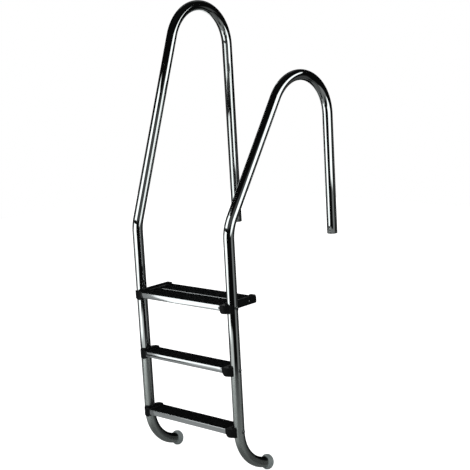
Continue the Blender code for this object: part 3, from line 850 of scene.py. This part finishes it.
def light_tent():
    """Round tent of soft boxes on dark cloth, seen only in reflections."""
    bm = bmesh.new()
    radius, z0, z1 = 1.5, -1.6, 3.6
    rs = []
    for z in (z0, z1):
        rs.append([bm.verts.new((radius * math.cos(a),
                                 radius * math.sin(a), z))
                   for a in (2 * math.pi * k / 96 for k in range(96))])
    skin(bm, rs)
    bm.faces.new(rs[0])
    bm.faces.new(rs[1])
    m = bpy.data.materials.new("tent_light")
    m.use_nodes = True
    m.node_tree.nodes.clear()
    t = Tree(m.node_tree)
    sep = t.node("ShaderNodeSeparateXYZ")
    t.put(sep.inputs[0], t.object_coords())
    x, y, z = sep.outputs
    az = t.math("MULTIPLY", t.math("ARCTAN2", x, t.math("MULTIPLY", y, -1.0)),
                180 / math.pi)
    r = t.math("SQRT", t.math("ADD", t.math("MULTIPLY", x, x),
                              t.math("MULTIPLY", y, y)))
    wall = t.ramp(r, 1.47, 1.49)
    total = None

    def add(strength, a0, a1, z_lo, z_hi, sa=3.0, s0=0.1, s1=0.1, lean=0.0,
            sa2=None, zz=None):
        nonlocal total
        v = az
        if lean:
            v = t.math("SUBTRACT", az, t.math("MULTIPLY",
                                              t.math("SUBTRACT", z, 1.2), lean))
        w = t.math("MULTIPLY", box_window(t, v, a0, a1, sa, sa2 or sa),
                   box_window(t, zz or z, z_lo, z_hi, s0, s1))
        w = t.math("MULTIPLY", w, strength)
        total = w if total is None else t.math("MAXIMUM", total, w)

    # z with its top edge stepping down towards the left of the tall box
    add(0.0030, -200, 200, -3, 5)                       # dark cloth
    high = t.math("ADD", z, t.math("MULTIPLY", t.math("MAXIMUM", t.math(
        "SUBTRACT", -28.0, az), 0.0), 0.010))
    add(1.30, -38, 4, 0.46, 0.98, 0.8, 0.25, 0.03)
    add(1.30, -38, 4, 1.24, 2.17, 0.8, 0.06, 0.05, zz=high)
    add(1.30, -42, -7, 0.02, 0.9, 0.8, 0.12, 0.1)       # its narrower foot
    add(0.26, -52, 14, -1.0, -0.22, 5.0, 0.5, 0.06, sa2=20.0)
    add(0.50, -36.5, 14, -0.2, 0.05, 2.0, 0.06, 0.05, sa2=20.0)
    add(0.24, -62, -42, 0.0, 0.62, 3.0, 0.05, 0.2)      # bluish side flap
    add(1.25, 79, 113, 0.74, 1.95, 7.0, 0.10, 0.10, lean=14.0, sa2=3.0)
    add(1.25, 96, 121, 0.74, 1.95, 3.0, 0.10, 0.10, lean=29.0)
    add(0.035, -84, -52, -0.45, 1.3, 6.0, 0.2, 0.4)     # grey reflector
    add(0.055, 6, 80, 1.25, 1.9, 8.0, 0.25, 0.2)        # faint fill
    add(0.17, 84, 112, -0.5, 0.72, 5.0, 0.3, 0.1)
    add(0.05, 140, 158, 0.0, 0.9, 5.0, 0.3, 0.3)
    add(0.06, -165, -115, 2.2, 3.2, 8.0, 0.2, 0.3)      # high at the back
    add(0.75, -144, -124, 0.62, 1.30, 3.0, 0.06, 0.12)   # low window behind
    # pale floor seen in the reflections, darker towards the back
    add(0.15, -110, 84, -3.0, -0.34, 20.0, 0.1, 0.3)
    add(0.045, 104, 142, -3.0, -0.12, 20.0, 0.1, 0.15, sa2=4.0)
    out = t.math("MULTIPLY", total, wall)
    cap = t.math("MULTIPLY", t.math("SUBTRACT", 1.0, wall),
                 t.ramp(z, 0.0, 1.0, 0.09, 0.004))
    out = t.math("ADD", out, cap)
    em = t.node("ShaderNodeEmission")
    em.inputs["Color"].default_value = (0.965, 1.0, 0.995, 1.0)
    t.put(em.inputs["Strength"], out)
    mo = t.node("ShaderNodeOutputMaterial")
    t.t.links.new(em.outputs[0], mo.inputs["Surface"])
    ob = build("studio_tent", bm, m, 30.0)
    ob.visible_camera = False
    ob.visible_diffuse = False
    ob.visible_shadow = False
    ob.visible_transmission = False
    ob.visible_volume_scatter = False
    ob.parent = rig


# the studio stands on a turntable of its own
rig = bpy.data.objects.new("studio_turntable", None)
bpy.context.scene.collection.objects.link(rig)
rig.location = (0.0, 0.2, 0.0)
light_tent()

world = bpy.data.worlds.new("studio")
bpy.context.scene.world = world
world.use_nodes = True
wt = Tree(world.node_tree)
world.node_tree.nodes.clear()
path = wt.node("ShaderNodeLightPath")
strength = wt.math("ADD", wt.math("MULTIPLY", path.outputs["Is Camera Ray"], 0.5),
                   0.5)
bg = wt.node("ShaderNodeBackground")
bg.inputs["Color"].default_value = (1.0, 1.0, 1.0, 1.0)
wt.put(bg.inputs["Strength"], strength)
wo = wt.node("ShaderNodeOutputWorld")
world.node_tree.links.new(bg.outputs[0], wo.inputs["Surface"])

# pale floor just under the lowest pad
floor_z = cad_low.z - 0.002
bm = bmesh.new()
n = 24
grid = [[bm.verts.new((-6 + 12 * i / n, -6 + 12 * j / n, floor_z))
         for i in range(n + 1)] for j in range(n + 1)]
for j in range(n):
    for i in range(n):
        bm.faces.new((grid[j][i], grid[j][i + 1], grid[j + 1][i + 1],
                      grid[j + 1][i]))
fm = bpy.data.materials.new("floor_pale")
fm.use_nodes = True
ft = Tree(fm.node_tree)
fb = fm.node_tree.nodes["Principled BSDF"]
cloud = ft.noise(ft.object_coords(), 3.0, 3.0)
ft.put(fb.inputs["Base Color"], ft.mix(cloud, rgb(0.80, 0.81, 0.81),
                                       rgb(0.84, 0.84, 0.84)))
fb.inputs["Roughness"].default_value = 0.8
fb.inputs["Specular IOR Level"].default_value = 0.0
fb.inputs["Emission Color"].default_value = (1, 1, 1, 1)
fpath = ft.node("ShaderNodeLightPath")
ft.put(fb.inputs["Emission Strength"],
       ft.math("MULTIPLY", fpath.outputs["Is Camera Ray"], 0.9))
floor = build("floor", bm, fm, 30.0)
floor.visible_glossy = False

for name, place, size, power in (
        ("key_soft", (-1.6, -2.6, 2.9), 1.8, 26.0),
        ("fill_soft", (2.8, -0.4, 2.2), 1.6, 9.0)):
    ld = bpy.data.lights.new(name, "AREA")
    ld.shape = "SQUARE"
    ld.size = size
    ld.energy = power
    lo = bpy.data.objects.new(name, ld)
    bpy.context.scene.collection.objects.link(lo)
    lo.location = Vector(place) - rig.location
    lo.parent = rig
    aim = Vector((0.0, 0.2, 0.7)) - Vector(place)
    lo.rotation_mode = "QUATERNION"
    lo.rotation_quaternion = aim.to_track_quat("-Z", "Y")
    lo.visible_glossy = False
    lo.visible_camera = False

# ------------------------------------------------------------ camera
yaw, pitch, roll = 0.73443, 0.19495, -0.05385
fwd = Vector((-math.sin(yaw) * math.cos(pitch),
              math.cos(yaw) * math.cos(pitch), -math.sin(pitch)))
right = Vector((math.cos(yaw), math.sin(yaw), 0.0))
up = right.cross(fwd)
r = right * math.cos(roll) + up * math.sin(roll)
u = up * math.cos(roll) - right * math.sin(roll)
cam_data = bpy.data.cameras.new("camera")
cam = bpy.data.objects.new("camera", cam_data)
bpy.context.scene.collection.objects.link(cam)
cam.rotation_mode = "QUATERNION"
cam.rotation_quaternion = Matrix((r, u, -fwd)).transposed().to_quaternion()
cam.location = (3.23723, -3.2764, 1.58382)
cam_data.sensor_width = 36.0
cam_data.lens = 90.78131
cam_data.shift_y = 0.0336
cam_data.clip_start = 0.1
cam_data.clip_end = 60.0
bpy.context.scene.camera = cam

# seen from behind, the studio is turned half round, so that the boxes light
# the side that is looked at
turn = rig.constraints.new("TRANSFORM")
turn.target = cam
turn.map_from = "LOCATION"
turn.from_min_y, turn.from_max_y = 0.9, 1.0
turn.map_to = "ROTATION"
turn.map_to_z_from = "Y"
turn.to_min_z_rot, turn.to_max_z_rot = 0.0, math.pi

scene = bpy.context.scene
scene.view_settings.view_transform = "Standard"
scene.view_settings.look = "None"
